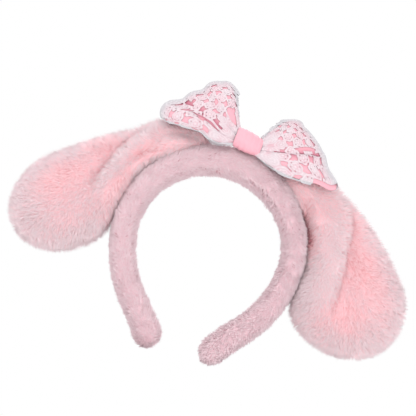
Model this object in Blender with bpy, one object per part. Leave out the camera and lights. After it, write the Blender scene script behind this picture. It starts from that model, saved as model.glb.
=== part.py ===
"""Plush lop-ear headband with a satin and lace bow.

Frame: metres, +Z up. The origin is the middle of the crown's inside face, where the band rests
on the head. +X runs to the right as the wearer is seen from the front, and -Y is the front.
The hoop is a sprung plastic strip in a foam tube, in a plush sleeve. Each ear is two plush
panels over a fibre pad, and hangs from a gathered root. The bow is two satin loops under lace,
tied by a satin wrap and tacked to the front of the band's top.
"""

import math

import bmesh
import bpy
from mathutils import Matrix, Vector

MM = 0.001

# ---------------------------------------------------------------- driving dimensions
# Hoop centreline: three tangent arcs each side of the crown. The tail curves the other way.
CROWN_RADIUS = 65 * MM
CROWN_SWEEP = math.radians(100)
LEG_RADIUS = 92 * MM
LEG_SWEEP = math.radians(32)
TAIL_RADIUS = 200 * MM
TAIL_SWEEP = math.radians(11)

BAND_DEPTH = 26 * MM  # front to back
BAND_THICKNESS = 20 * MM  # inside face to outside face
OVAL_POWER = 2.8  # above 2, the band's section has flatter faces than an ellipse
COVER_WALL = 2.4 * MM
STITCH_WAVE = 0.4 * MM
CORE_DEPTH = 12 * MM
CORE_THICKNESS = 2.2 * MM
FIT_GAP = 0.35 * MM  # clearance between pieces that touch in the real object
THREAD_RADIUS = 0.4 * MM
THREAD_LANE = 2 * THREAD_RADIUS + 2 * FIT_GAP  # space that a thread needs between two pieces

# Ears: root, middle control point and tip of the centreline, in the plane of the hoop
ROOT_PLACE = (47 * MM, 17 * MM)
RIGHT_EAR_CONTROL = (111 * MM, -9.5 * MM)
RIGHT_EAR_TIP = (126 * MM, -104 * MM)
RIGHT_EAR_HALF_WIDTH = 39 * MM
LEFT_EAR_CONTROL = (99 * MM, -23.5 * MM)
LEFT_EAR_TIP = (139 * MM, -87 * MM)
LEFT_EAR_HALF_WIDTH = 34 * MM
NECK_HALF_WIDTH = 9 * MM
EAR_HALF_THICKNESS = 10.5 * MM
EAR_NECK_HALF_THICKNESS = 5.5 * MM
EAR_FULL_SHARE = 0.45  # of the length, where an ear reaches its full thickness
EAR_TAPER_SHARE = 0.6  # of the length, where it starts to round off to the tip
EAR_LEAST_TAPER = 0.12
EAR_Y = 6 * MM  # the ears hang a little behind the middle of the band
EAR_BAND_GAP = 1.5 * MM  # from the ear's edge to the band beside it
PANEL_WALL = 2.0 * MM
ROOT_RADIUS = 8.5 * MM
ROOT_LENGTH = 16 * MM
ROOT_PLEATS = 5
PLEAT_HEIGHT = 0.8 * MM
ROOT_PROFILE = ((-0.5, 0.75), (-0.4, 1), (0.4, 1), (0.5, 0.75))  # share of length, of radius

# Bow
BOW_CENTRE = Vector((4.5 * MM, -16.0 * MM, 28.5 * MM))
BOW_ROLL = math.radians(6.5)  # the bow leans, its left loop up
WAIST_LENGTH = 12.5 * MM  # half the length of the tied middle
WAIST_HALF_HEIGHT = 6.0 * MM
LOOP_ANGLE_LOW = math.radians(-4)
LOOP_ANGLE_HIGH = math.radians(54)
LOOP_REACH_LOW = 72 * MM
LOOP_REACH_HIGH = 36 * MM
LOOP_PUFF = 7 * MM
PUFF_POWER = 0.8  # below 1, a loop swells sooner and stays full for longer
SATIN_WALL = 0.7 * MM
SATIN_HALF_DEPTH = 1.0 * MM  # half the satin's thickness where it is flat: two layers and a gap
LACE_WALL = 0.8 * MM
LACE_GAP = 0.9 * MM  # more than a fit gap, because the facets of the two loops twist unlike
LACE_OFFSET = LACE_GAP + LACE_WALL  # outside of the lace above the outside of the satin
MIDDLE_GAP = FIT_GAP / 2  # from the bow's middle plane to each loop
WRAP_WALL = 1.3 * MM
WRAP_BULGE = 0.9 * MM
WRAP_PROFILE = ((-1, 0), (-0.5, 0.8), (0, 1), (0.5, 0.8), (1, 0))  # along the waist, share of bulge
PAD_SIZE = (16 * MM, 1.6 * MM, 9 * MM)
TACK_STITCHES = 4
TACK_WIDTH = 2 * MM  # half the width of a tack's zigzag
TACK_LENGTH = 14 * MM
PAD_TACK_SHARE = 0.8  # of the pad's width
GATHER_SHARE = 1.2  # of the waist's half height

# Mesh fineness
HALF_STATIONS = 18
TIP_FLAT = 1.5 * MM  # an ear's section stops this short of its tip
TIP_PROFILE = ((0.35, 0.97), (0.7, 0.82), (0.92, 0.58), (1.0, 0.32))
SECTION_SIDES = 14
EAR_STATIONS = 15
EAR_ARC_SIDES = 7
EAR_CURVE_STEPS = 200
CLEARANCE_STEPS = 120
EAR_TRIM_STEP = 0.5 * MM
PAD_STATIONS_CUT = 2  # an ear's pad ends this many stations before its tip
WELD_DISTANCE = 0.01 * MM
LOOP_ROWS = 7
LOOP_STEPS = 7

# Colour (linear RGB) and roughness
FINISHES = {
    "band_plush": ((0.80, 0.55, 0.60), 0.95),
    "ear_plush": ((0.91, 0.56, 0.58), 0.95),
    "pad_fibre": ((0.88, 0.88, 0.86), 1.00),
    "foam": ((0.86, 0.80, 0.66), 0.90),
    "core_plastic": ((0.80, 0.78, 0.74), 0.35),
    "satin": ((0.95, 0.52, 0.62), 0.28),
    "lace": ((0.93, 0.88, 0.89), 0.70),
    "felt": ((0.85, 0.60, 0.64), 1.00),
    "thread": ((0.90, 0.62, 0.66), 0.60),
}


# ---------------------------------------------------------------- scene helpers
def clear_scene():
    for item in list(bpy.data.objects):
        bpy.data.objects.remove(item)


def new_collection(name):
    made = bpy.data.collections.new(name)
    bpy.context.scene.collection.children.link(made)
    return made


def finish_material(name):
    found = bpy.data.materials.get(name)
    if found:
        return found
    colour, roughness = FINISHES[name]
    made = bpy.data.materials.new(name)
    made.use_nodes = True
    shader = made.node_tree.nodes["Principled BSDF"]
    shader.inputs["Base Color"].default_value = (*colour, 1)
    shader.inputs["Roughness"].default_value = roughness
    shader.inputs["Metallic"].default_value = 0
    return made


def add_object(name, data, finish, parent=None):
    """Puts a world-space mesh in the part's collection, with its material and its parent empty."""
    made = bpy.data.objects.new(name, data)
    PART.objects.link(made)
    data.materials.append(finish_material(finish))
    data.shade_smooth()
    if parent:
        data.transform(Matrix.Translation(-parent.location))
        made.parent = parent
    return made


def add_pivot(name, location):
    """An empty on a joint's axis, which carries the pieces that move about it."""
    made = bpy.data.objects.new(name, None)
    PART.objects.link(made)
    made.location = location
    return made


def loft(name, sections, closed_ends=True, ring=False):
    """Joins matching closed sections in order. A ring also joins the last section to the first."""
    shape = bmesh.new()
    rows = [[shape.verts.new(corner) for corner in section] for section in sections]
    pairs = list(zip(rows, rows[1:]))
    if ring:
        pairs.append((rows[-1], rows[0]))
    for near, far in pairs:
        for index in range(len(near)):
            following = (index + 1) % len(near)
            shape.faces.new((near[index], near[following], far[following], far[index]))
    if closed_ends and not ring:
        shape.faces.new(rows[0])
        shape.faces.new(list(reversed(rows[-1])))
    bmesh.ops.recalc_face_normals(shape, faces=shape.faces)
    data = bpy.data.meshes.new(name)
    shape.to_mesh(data)
    shape.free()
    return data


def thread(name, points, parent=None):
    """A thread through these points: a poly curve with a round bevel, its caps welded on."""
    data = bpy.data.curves.new(name, "CURVE")
    data.dimensions = "3D"
    data.twist_mode = "MINIMUM"
    spline = data.splines.new("POLY")
    spline.points.add(len(points) - 1)
    for index, place in enumerate(points):
        spline.points[index].co = (*place, 1)
    data.bevel_depth = THREAD_RADIUS
    data.bevel_resolution = 1
    data.use_fill_caps = True
    guide = bpy.data.objects.new(name + "_path", data)
    PART.objects.link(guide)
    bpy.context.view_layer.update()
    graph = bpy.context.evaluated_depsgraph_get()
    surface = bpy.data.meshes.new_from_object(guide.evaluated_get(graph))
    surface.materials.clear()
    bpy.data.objects.remove(guide)
    shape = bmesh.new()
    shape.from_mesh(surface)
    bmesh.ops.remove_doubles(shape, verts=shape.verts, dist=WELD_DISTANCE)
    bmesh.ops.recalc_face_normals(shape, faces=shape.faces)
    shape.to_mesh(surface)
    shape.free()
    return add_object(name, surface, "thread", parent)


# ---------------------------------------------------------------- the hoop
HALF_HOOP = CROWN_RADIUS * CROWN_SWEEP + LEG_RADIUS * LEG_SWEEP + TAIL_RADIUS * TAIL_SWEEP
STATION_SPACING = HALF_HOOP / HALF_STATIONS


def hoop_frame(distance):
    """Centreline place (x, z) and outward direction, by signed distance from the crown."""
    side = -1 if distance < 0 else 1
    remaining = abs(distance)
    across, up, heading = 0.0, BAND_THICKNESS / 2, 0.0
    arcs = (
        (CROWN_RADIUS, CROWN_SWEEP),
        (LEG_RADIUS, LEG_SWEEP),
        (-TAIL_RADIUS, TAIL_SWEEP),
    )
    for radius, sweep in arcs:
        used = min(remaining, abs(radius) * sweep)
        turned = heading + used / radius
        across += radius * (math.sin(turned) - math.sin(heading))
        up += radius * (math.cos(turned) - math.cos(heading))
        heading = turned
        remaining -= used
    outward = Vector((side * math.sin(heading), math.cos(heading)))
    return Vector((side * across, up)), outward


def oval(thickness, depth):
    """A superellipse with nearly flat faces: (outward, back) corners.

    One facet is the middle of the inside face. The facet in front of it, from the last corner
    to the first, carries the seam.
    """
    corners = []
    for index in range(SECTION_SIDES):
        angle = math.pi + 2 * math.pi * (index + 1.5) / SECTION_SIDES
        cosine, sine = math.cos(angle), math.sin(angle)
        outward = thickness / 2 * math.copysign(abs(cosine) ** (2 / OVAL_POWER), cosine)
        back = depth / 2 * math.copysign(abs(sine) ** (2 / OVAL_POWER), sine)
        corners.append((outward, back))
    return corners


def seam_middle(corners):
    return (Vector(corners[0]) + Vector(corners[-1])) / 2


def open_at_seam(corners):
    """Opens the seam facet by the width of the thread's lane."""
    middle = seam_middle(corners)
    edge = (Vector(corners[0]) - Vector(corners[-1])).normalized() * THREAD_LANE / 2
    return [tuple(middle + edge)] + corners + [tuple(middle - edge)]


def sweep_hoop(name, section, stations, finish):
    """Carries a section along the hoop. Each station is a distance and a scale for the section."""
    sections = []
    for distance, scale in stations:
        place, outward = hoop_frame(distance)
        corners = []
        for out, back in section:
            shifted = place + outward * out * scale
            corners.append((shifted.x, back * scale, shifted.y))
        sections.append(corners)
    return add_object(name, loft(name, sections), finish)


def hoop_stations(skipped):
    """Even stations from tip to tip, without the last few at each end."""
    count = 2 * (HALF_STATIONS - skipped)
    return [((index + 0.5 - count / 2) * STATION_SPACING, 1) for index in range(count)]


def rounded_tips(stations):
    """Adds stations of shrinking scale, so that the sleeve closes in a round end at each tip."""
    last = stations[-1][0]
    room = HALF_HOOP - last
    ends = [(last + share * room, scale) for share, scale in TIP_PROFILE]
    mirrored = [(-distance, scale) for distance, scale in reversed(ends)]
    return mirrored + stations + ends


def build_cover():
    outer = oval(BAND_THICKNESS, BAND_DEPTH)
    inner = oval(BAND_THICKNESS - 2 * COVER_WALL, BAND_DEPTH - 2 * COVER_WALL)
    section = open_at_seam(outer) + list(reversed(open_at_seam(inner)))
    sweep_hoop("band_cover", section, rounded_tips(hoop_stations(1)), "band_plush")


def build_foam():
    """A tube with a slot for the core, and a slit through which the core goes in."""
    shrink = 2 * (COVER_WALL + FIT_GAP)
    outer = oval(BAND_THICKNESS - shrink, BAND_DEPTH - shrink)
    thick = CORE_THICKNESS / 2 + FIT_GAP
    deep = CORE_DEPTH / 2 + FIT_GAP
    slit = seam_middle(outer).y
    half_slit = THREAD_LANE / 2
    slot = [
        (-thick, slit + half_slit),
        (-thick, deep),
        (thick, deep),
        (thick, -deep),
        (-thick, -deep),
        (-thick, slit - half_slit),
    ]
    sweep_hoop("band_foam", open_at_seam(outer) + slot, hoop_stations(1), "foam")


def build_core():
    thick = CORE_THICKNESS / 2
    deep = CORE_DEPTH / 2
    section = [(-thick, -deep), (-thick, deep), (thick, deep), (thick, -deep)]
    sweep_hoop("band_core", section, hoop_stations(2), "core_plastic")


def build_seam_thread():
    """The stitch line in the sleeve's seam, in and out of the plush."""
    middle = seam_middle(oval(BAND_THICKNESS - COVER_WALL, BAND_DEPTH - COVER_WALL))
    points = []
    for index, (distance, _) in enumerate(hoop_stations(1)):
        place, outward = hoop_frame(distance)
        stitched = place + outward * (middle.x + STITCH_WAVE * (-1) ** index)
        points.append((stitched.x, middle.y, stitched.y))
    thread("band_seam_thread", points)


# ---------------------------------------------------------------- the ears
def band_clearance(place):
    """Distance from a place in the hoop's plane to the band's nearest face."""
    spots = [hoop_frame(HALF_HOOP * i / CLEARANCE_STEPS)[0] for i in range(CLEARANCE_STEPS)]
    nearest = min((spot - place).length for spot in spots)
    return nearest - BAND_THICKNESS / 2


def ear_stations(control, tip, half_width):
    """Along an ear: centre, outer direction, outer and inner half widths, and share of the length.

    The ear is a teardrop: straight sides that open from the neck, and a half-round end. Its
    inner side lies along the band, so it is cut back where it would reach the band.
    """
    root, bend, end = Vector(ROOT_PLACE), Vector(control), Vector(tip)
    fine = [index / EAR_CURVE_STEPS for index in range(EAR_CURVE_STEPS + 1)]
    curve = [root * (1 - t) ** 2 + bend * 2 * t * (1 - t) + end * t**2 for t in fine]
    lengths = [0.0]
    for near, far in zip(curve, curve[1:]):
        lengths.append(lengths[-1] + (far - near).length)
    total = lengths[-1]
    start = ROOT_RADIUS + PLEAT_HEIGHT + 2 * FIT_GAP
    found = []
    for index in range(EAR_STATIONS):
        share = math.sin(math.pi / 2 * index / (EAR_STATIONS - 1))
        along = start + (total - start - TIP_FLAT) * share
        spot = min(range(len(lengths) - 1), key=lambda i: abs(lengths[i] - along))
        centre = curve[spot]
        heading = (curve[spot + 1] - centre).normalized()
        outer_side = Vector((-heading.y, heading.x))
        from_round = along - (total - half_width)
        if from_round > 0:
            width = math.sqrt(max(half_width**2 - from_round**2, TIP_FLAT**2))
        else:
            opening = along / (total - half_width)
            width = NECK_HALF_WIDTH + (half_width - NECK_HALF_WIDTH) * opening
        inner = width
        while band_clearance(centre - outer_side * inner) < EAR_BAND_GAP:
            inner -= EAR_TRIM_STEP
        found.append((centre, outer_side, width, inner, along / total))
    return found


def ear_height(share, width, half_width):
    """Half thickness: thin at the neck, full in the middle, and rounded off to the tip."""
    swell = EAR_NECK_HALF_THICKNESS
    swell += (EAR_HALF_THICKNESS - EAR_NECK_HALF_THICKNESS) * min(1, share / EAR_FULL_SHARE)
    if share > EAR_TAPER_SHARE:
        swell *= math.sqrt(max(width / half_width, EAR_LEAST_TAPER))
    return swell


def ear_arc(station, half_width, inset, lift, side):
    """One face of the ear's section, from the outer edge to the inner. side is -1 for the front."""
    centre, outer_side, outer, inner, share = station
    height = ear_height(share, outer, half_width) - inset
    corners = []
    for index in range(EAR_ARC_SIDES + 1):
        angle = math.pi * index / EAR_ARC_SIDES
        reach = (outer if math.cos(angle) > 0 else inner) - inset
        place = centre + outer_side * math.cos(angle) * reach
        corners.append((place.x, EAR_Y + side * (lift + math.sin(angle) * height), place.y))
    return corners


def mirrored(sections):
    return [[(-x, y, z) for x, y, z in section] for section in sections]


def build_ear(prefix, control, tip, half_width, flip):
    """An ear on its pivot: two panels, fibre pad, edge thread and gathered root."""
    side_sign = -1 if flip else 1
    stations = ear_stations(control, tip, half_width)
    pivot = add_pivot(prefix + "_pivot", (side_sign * ROOT_PLACE[0], EAR_Y, ROOT_PLACE[1]))
    lift = THREAD_LANE / 2

    def placed(sections):
        return mirrored(sections) if flip else sections

    for label, side in (("front", -1), ("back", 1)):
        shell = []
        for station in stations:
            outer = ear_arc(station, half_width, 0, lift, side)
            inner = ear_arc(station, half_width, PANEL_WALL, lift, side)
            shell.append(outer + list(reversed(inner)))
        name = f"{prefix}_{label}_panel"
        add_object(name, loft(name, placed(shell)), "ear_plush", pivot)

    inset = PANEL_WALL + 2 * FIT_GAP
    pad = []
    for station in stations[:-PAD_STATIONS_CUT]:
        front = ear_arc(station, half_width, inset, 0, -1)
        back = ear_arc(station, half_width, inset, 0, 1)
        pad.append(front + back[-2:0:-1])
    name = prefix + "_filling"
    add_object(name, loft(name, placed(pad)), "pad_fibre", pivot)

    outer_edge = [s[0] + s[1] * (s[2] - PANEL_WALL / 2) for s in stations]
    inner_edge = [s[0] - s[1] * (s[3] - PANEL_WALL / 2) for s in reversed(stations)]
    edge = [(side_sign * place.x, EAR_Y, place.y) for place in outer_edge + inner_edge]
    thread(prefix + "_edge_thread", edge, pivot)
    build_ear_root(prefix, pivot, side_sign)


def build_ear_root(prefix, pivot, side_sign):
    """The gathered root, pleated round the joint's axis, and the tack stitches under it."""
    sides = 4 * ROOT_PLEATS
    sections = []
    for share, scale in ROOT_PROFILE:
        corners = []
        for index in range(sides):
            angle = 2 * math.pi * index / sides
            radius = scale * (ROOT_RADIUS + PLEAT_HEIGHT * math.cos(ROOT_PLEATS * angle))
            corners.append(
                (
                    pivot.location.x + radius * math.cos(angle),
                    EAR_Y + share * ROOT_LENGTH,
                    pivot.location.z + radius * math.sin(angle),
                )
            )
        sections.append(corners)
    name = prefix + "_root"
    add_object(name, loft(name, sections), "ear_plush", pivot)

    centre = Vector((0, BAND_THICKNESS / 2 - CROWN_RADIUS))
    outward = (Vector((pivot.location.x, pivot.location.z)) - centre).normalized()
    along = Vector((outward.y, -outward.x))
    depth = CROWN_RADIUS + BAND_THICKNESS / 2 + THREAD_LANE / 2
    points = []
    for index in range(TACK_STITCHES + 1):
        place = centre + outward * depth + along * TACK_WIDTH * (-1) ** index
        back = TACK_LENGTH * (index / TACK_STITCHES - 0.5)
        points.append((place.x, back, place.y))
    thread(prefix + "_tack_thread", points)


# ---------------------------------------------------------------- the bow
def bow_place(across, depth, up):
    """From the bow's own frame to the world: rolled about its middle."""
    rolled = Matrix.Rotation(BOW_ROLL, 3, "Y") @ Vector((across, depth, up))
    return tuple(rolled + BOW_CENTRE)


def loop_section(row, side_sign, offset, wall):
    """A closed loop of ribbon seen end on, at one place across the ribbon's width.

    row runs from -1 (low edge) to 1 (high edge). offset is how far outside the satin the
    material lies. The loop's outline runs out along the front, round the end and back.
    """
    angle = LOOP_ANGLE_LOW + (LOOP_ANGLE_HIGH - LOOP_ANGLE_LOW) * (row + 1) / 2
    reach = LOOP_REACH_LOW + (LOOP_REACH_HIGH - LOOP_REACH_LOW) * (row + 1) / 2
    waist = Vector((WAIST_LENGTH, row * WAIST_HALF_HEIGHT))
    end = Vector((reach * math.cos(angle), reach * math.sin(angle)))
    outline = []
    for inset in (0, wall):
        start = Vector((MIDDLE_GAP + LACE_OFFSET - offset + inset, row * WAIST_HALF_HEIGHT))
        front = [(start, SATIN_HALF_DEPTH + offset - inset)]
        for step in range(LOOP_STEPS + 1):
            share = step / LOOP_STEPS
            place = waist.lerp(end, share)
            if step == LOOP_STEPS:
                place += (end - waist).normalized() * (offset - inset)
            puff = LOOP_PUFF * math.sin(math.pi * share) ** PUFF_POWER
            front.append((place, SATIN_HALF_DEPTH + offset - inset + puff))
        loop = [(place, -depth) for place, depth in front]
        loop += [(place, depth) for place, depth in reversed(front)]
        outline.append([bow_place(side_sign * p.x, d, p.y) for p, d in loop])
    return outline


def loop_object(name, side_sign, offset, wall, finish):
    """A ribbon loop, open along both edges like a flattened tube."""
    rows = [2 * index / (LOOP_ROWS - 1) - 1 for index in range(LOOP_ROWS)]
    outers, inners = [], []
    for row in rows:
        outer, inner = loop_section(row, side_sign, offset, wall)
        outers.append(outer)
        inners.append(inner)
    sections = outers + list(reversed(inners))
    add_object(name, loft(name, sections, ring=True), finish)


def build_wrap():
    """The satin wrap: a short tube round the waist, fuller in the middle."""
    high = WAIST_HALF_HEIGHT + THREAD_LANE
    deep = SATIN_HALF_DEPTH + LACE_OFFSET + THREAD_LANE
    sections = []
    half = WAIST_LENGTH - FIT_GAP
    rings = [(share * half, WRAP_WALL + WRAP_BULGE * bulge) for share, bulge in WRAP_PROFILE]
    rings += [(across, 0) for across, _ in reversed(rings)]
    for across, wall in rings:
        corners = []
        for index in range(SECTION_SIDES):
            angle = 2 * math.pi * (index + 0.5) / SECTION_SIDES
            cosine, sine = math.cos(angle), math.sin(angle)
            depth = (deep + wall) * math.copysign(abs(sine) ** (2 / OVAL_POWER), sine)
            up = (high + wall) * math.copysign(abs(cosine) ** (2 / OVAL_POWER), cosine)
            corners.append(bow_place(across, depth, up))
        sections.append(corners)
    add_object("bow_wrap", loft("bow_wrap", sections, ring=True), "satin")


def build_gather_thread():
    """The running stitch that gathers the loops, up the back of the waist and under the wrap."""
    depth = SATIN_HALF_DEPTH + LACE_OFFSET + THREAD_LANE / 2
    points = []
    for index in range(TACK_STITCHES + 1):
        up = GATHER_SHARE * WAIST_HALF_HEIGHT * (index / TACK_STITCHES - 0.5)
        points.append(bow_place(TACK_WIDTH * (-1) ** index, depth, up))
    thread("bow_gather_thread", points)


def build_bow_mount():
    """The felt pad behind the wrap and the stitch that tacks the bow to the band's front edge."""
    wide, thick, tall = PAD_SIZE
    behind = SATIN_HALF_DEPTH + LACE_OFFSET + THREAD_LANE + WRAP_WALL + WRAP_BULGE + FIT_GAP
    corners = [(-wide / 2, -tall / 2), (wide / 2, -tall / 2), (wide / 2, tall / 2), (-wide / 2, tall / 2)]
    sections = []
    for depth in (behind, behind + thick):
        sections.append([bow_place(x, depth, z) for x, z in corners])
    add_object("bow_felt_pad", loft("bow_felt_pad", sections), "felt")
    depth = behind + thick + THREAD_LANE / 2
    points = []
    for index in range(TACK_STITCHES + 1):
        across = wide * PAD_TACK_SHARE * (index / TACK_STITCHES - 0.5)
        points.append(bow_place(across, depth, TACK_WIDTH * (-1) ** index))
    thread("bow_tack_thread", points)


def build_bow():
    for label, side_sign in (("left", -1), ("right", 1)):
        loop_object(f"bow_{label}_satin_loop", side_sign, 0, SATIN_WALL, "satin")
        loop_object(f"bow_{label}_lace_loop", side_sign, LACE_OFFSET, LACE_WALL, "lace")
    build_wrap()
    build_gather_thread()
    build_bow_mount()


clear_scene()
PART = new_collection("animal_ears_headband")
build_cover()
build_foam()
build_core()
build_seam_thread()
build_ear("left_ear", LEFT_EAR_CONTROL, LEFT_EAR_TIP, LEFT_EAR_HALF_WIDTH, True)
build_ear("right_ear", RIGHT_EAR_CONTROL, RIGHT_EAR_TIP, RIGHT_EAR_HALF_WIDTH, False)
build_bow()
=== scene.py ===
"""Looks for the plush lop-ear headband: pile, satin, openwork lace, studio and camera."""

import math

import bpy
import numpy as np
from mathutils import Matrix, Vector


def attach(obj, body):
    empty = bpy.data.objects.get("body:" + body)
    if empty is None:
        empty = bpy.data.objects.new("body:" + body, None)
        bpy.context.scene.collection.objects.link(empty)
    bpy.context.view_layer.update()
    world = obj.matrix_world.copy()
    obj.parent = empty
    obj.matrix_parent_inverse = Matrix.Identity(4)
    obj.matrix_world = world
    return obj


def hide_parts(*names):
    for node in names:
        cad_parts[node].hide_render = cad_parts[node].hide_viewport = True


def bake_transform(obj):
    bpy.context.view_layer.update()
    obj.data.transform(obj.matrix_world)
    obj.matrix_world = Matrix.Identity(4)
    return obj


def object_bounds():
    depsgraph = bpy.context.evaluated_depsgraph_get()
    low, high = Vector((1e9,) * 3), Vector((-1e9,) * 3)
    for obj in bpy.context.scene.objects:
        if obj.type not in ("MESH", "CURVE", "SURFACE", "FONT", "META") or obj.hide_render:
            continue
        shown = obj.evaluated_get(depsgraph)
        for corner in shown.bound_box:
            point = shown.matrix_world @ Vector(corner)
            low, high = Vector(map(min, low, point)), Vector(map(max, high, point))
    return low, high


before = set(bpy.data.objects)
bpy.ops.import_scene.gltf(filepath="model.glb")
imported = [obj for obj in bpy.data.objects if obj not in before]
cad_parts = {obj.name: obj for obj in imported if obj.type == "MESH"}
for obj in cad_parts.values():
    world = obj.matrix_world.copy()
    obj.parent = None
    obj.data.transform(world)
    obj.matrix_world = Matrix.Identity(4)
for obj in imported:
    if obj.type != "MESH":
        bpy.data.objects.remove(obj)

cad_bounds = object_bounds()
MM = 0.001
UV_NAME = "OFBake"
TUFT_ROUND = 0.9  # how far a lock's shading turns towards its own sides
CLEFT_SHADE_BELOW = -0.2  # cloth toned below this lies deep in a cleft, and its pile takes the darkest tone, painted shade


# ---------------------------------------------------------------- mesh helpers
def unit(vectors):
    """Vectors scaled to length 1, along the last axis."""
    return vectors / np.maximum(np.linalg.norm(vectors, axis=-1, keepdims=True), 1e-12)


def smooth_step(low, high, value):
    share = np.clip((value - low) / (high - low), 0, 1)
    return share * share * (3 - 2 * share)


def ripple(places, wavelength, seed):
    """Smooth random field from -1 to 1 at places, made of a few crossed waves."""
    rng = np.random.default_rng(seed)
    total = np.zeros(places.shape[:-1])
    for _ in range(7):
        wave = unit(rng.normal(0, 1, 3)) * 2 * math.pi / (wavelength * rng.uniform(0.7, 1.4))
        total += np.sin(places @ wave + rng.uniform(0, 6.3))
    return np.clip(total / 3.2, -1, 1)


def build_mesh(name, verts, quads=None, tris=None, uvs=None, normals=None):
    """A mesh from arrays. uvs and normals are one for each vertex."""
    quads = np.zeros((0, 4), int) if quads is None else quads
    tris = np.zeros((0, 3), int) if tris is None else tris
    loops = np.concatenate([quads.ravel(), tris.ravel()]).astype(np.int32)
    starts = np.concatenate(
        [np.arange(len(quads)) * 4, len(quads) * 4 + np.arange(len(tris)) * 3]
    ).astype(np.int32)
    data = bpy.data.meshes.new(name)
    data.vertices.add(len(verts))
    data.vertices.foreach_set("co", verts.astype(np.float32).ravel())
    data.loops.add(len(loops))
    data.loops.foreach_set("vertex_index", loops)
    data.polygons.add(len(starts))
    data.polygons.foreach_set("loop_start", starts)
    data.polygons.foreach_set("use_smooth", np.ones(len(starts), bool))
    data.update(calc_edges=True)
    if uvs is not None:
        layer = data.uv_layers.new(name=UV_NAME)
        layer.data.foreach_set("uv", uvs[loops].astype(np.float32).ravel())
    data.validate()
    if normals is not None:
        data.normals_split_custom_set_from_vertices(unit(normals).tolist())
    return data


def add_piece(name, data, material, body, stands_for):
    """Puts a mesh in the scene, standing for CAD nodes.

    body is the name of one body, to which the piece is attached. Given instead as two names and the
    places where a blend between them runs, the piece is only fixed where it stands, and the names
    and places are not used.
    """
    piece = bpy.data.objects.new(name, data)
    bpy.context.scene.collection.objects.link(piece)
    data.materials.append(material)
    if isinstance(body, str):
        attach(piece, body)
    else:
        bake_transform(piece)
    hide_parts(*stands_for)
    return piece


def grid_quads(rows, columns, wrapped):
    """Faces of a grid of rows by columns vertices. If wrapped, its last column joins its first."""
    across = columns if wrapped else columns - 1
    i, j = np.meshgrid(np.arange(rows - 1), np.arange(across), indexing="ij")
    k = (j + 1) % columns
    corners = (i * columns + j, i * columns + k, (i + 1) * columns + k, (i + 1) * columns + j)
    return np.stack(corners, axis=-1).reshape(-1, 4)


def grid_normals(verts, wrapped):
    """Unit normals of a grid of positions, from its neighbours' differences."""
    along = np.gradient(verts, axis=0)
    if wrapped:
        around = np.roll(verts, -1, axis=1) - np.roll(verts, 1, axis=1)
    else:
        around = np.gradient(verts, axis=1)
    return unit(np.cross(around, along))


def outward_grid(grid):
    """Normals and faces of a wrapped grid, both facing away from its middle line."""
    normals = grid_normals(grid, True)
    quads = grid_quads(grid.shape[0], grid.shape[1], True)
    if ((grid - grid.mean(axis=1, keepdims=True)) * normals).sum() < 0:
        return -normals, quads[:, ::-1]
    return normals, quads


def scatter(fields, quads, weight, count, rng):
    """Random places on a grid, even by area times weight. fields[0] is the positions."""
    flat = [field.reshape(-1, field.shape[-1]) for field in fields]
    corner = flat[0][quads]
    size = np.linalg.norm(
        np.cross(corner[:, 2] - corner[:, 0], corner[:, 3] - corner[:, 1]), axis=1
    )
    chance = size * weight.reshape(-1)[quads].mean(axis=1)
    pick = rng.choice(len(quads), size=count, p=chance / chance.sum())
    u, v = rng.random((2, count, 1))
    found = []
    for field in flat:
        a, b, c, d = (field[quads[pick, k]] for k in range(4))
        found.append((a * (1 - u) + b * u) * (1 - v) + (d * (1 - u) + c * u) * v)
    return found


def tufts(roots, normals, combs, lift, length, width, shade, rng):
    """Tapered three-sided locks of pile, bent over the way they are combed.

    lift is 1 for upright and 0 for lying flat. length and width are columns, one row a lock.
    """
    count = len(roots)
    jitter = rng.normal(0, 0.16, (count, 3))
    first = unit(normals * lift + combs * (1 - lift) + jitter)
    second = unit(first + combs * 0.55 + rng.normal(0, 0.12, (count, 3)))
    side = unit(np.cross(first, rng.normal(0, 1, (count, 3))))
    other = np.cross(first, side)
    middle = roots + first * length * 0.5
    tip = middle + second * length * 0.5
    base = roots - first * 0.12 * length
    turn = np.arange(3) * 2 * math.pi / 3
    turn = turn[None, :, None]
    ring = side[:, None] * np.cos(turn) + other[:, None] * np.sin(turn)
    half = (width / 2)[:, :, None]
    verts = np.concatenate(
        [base[:, None] + ring * half, middle[:, None] + ring * half * 0.8, tip[:, None]], axis=1
    )
    outward = unit(normals + 0.35 * first)[:, None]
    sides = outward + ring * TUFT_ROUND
    shading = np.concatenate([sides, sides, outward], axis=1)
    start = np.arange(count)[:, None] * 7  # three vertices at the base, three halfway, one tip
    pairs = ((0, 1), (1, 2), (2, 0))
    quads = np.concatenate([start + np.array([k, m, 3 + m, 3 + k]) for k, m in pairs])
    tris = np.concatenate([start + np.array([3 + k, 3 + m, 6]) for k, m in pairs])
    spread = np.array([-0.006, 0, 0.006, -0.006, 0, 0.006, 0])
    u = np.clip(shade, 0.02, 0.98) + spread[None]
    v = np.broadcast_to(np.array([0.03, 0.03, 0.03, 0.5, 0.5, 0.5, 0.97]), u.shape)
    uvs = np.stack([u, v], axis=-1)
    return verts.reshape(-1, 3), quads, tris, uvs.reshape(-1, 2), shading.reshape(-1, 3)


def with_pile(name, skin, part, skin_uvs, skin_normals, pile):
    """One mesh of pile and the faces of the skin that are in part."""
    verts, quads, tris, uvs, normals = pile
    used, inverse = np.unique(part, return_inverse=True)
    offset = len(used)
    return build_mesh(
        name,
        np.concatenate([skin.reshape(-1, 3)[used], verts]),
        np.concatenate([inverse.reshape(-1, 4), quads + offset]),
        tris + offset,
        np.concatenate([skin_uvs.reshape(-1, 2)[used], uvs]),
        np.concatenate([skin_normals.reshape(-1, 3)[used], normals]),
    )


# ---------------------------------------------------------------- materials
def srgb(red, green, blue):
    """Linear colour from 8-bit sRGB."""
    return tuple(
        c / 255 / 12.92 if c <= 10 else ((c / 255 + 0.055) / 1.055) ** 2.4
        for c in (red, green, blue)
    ) + (1.0,)


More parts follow.
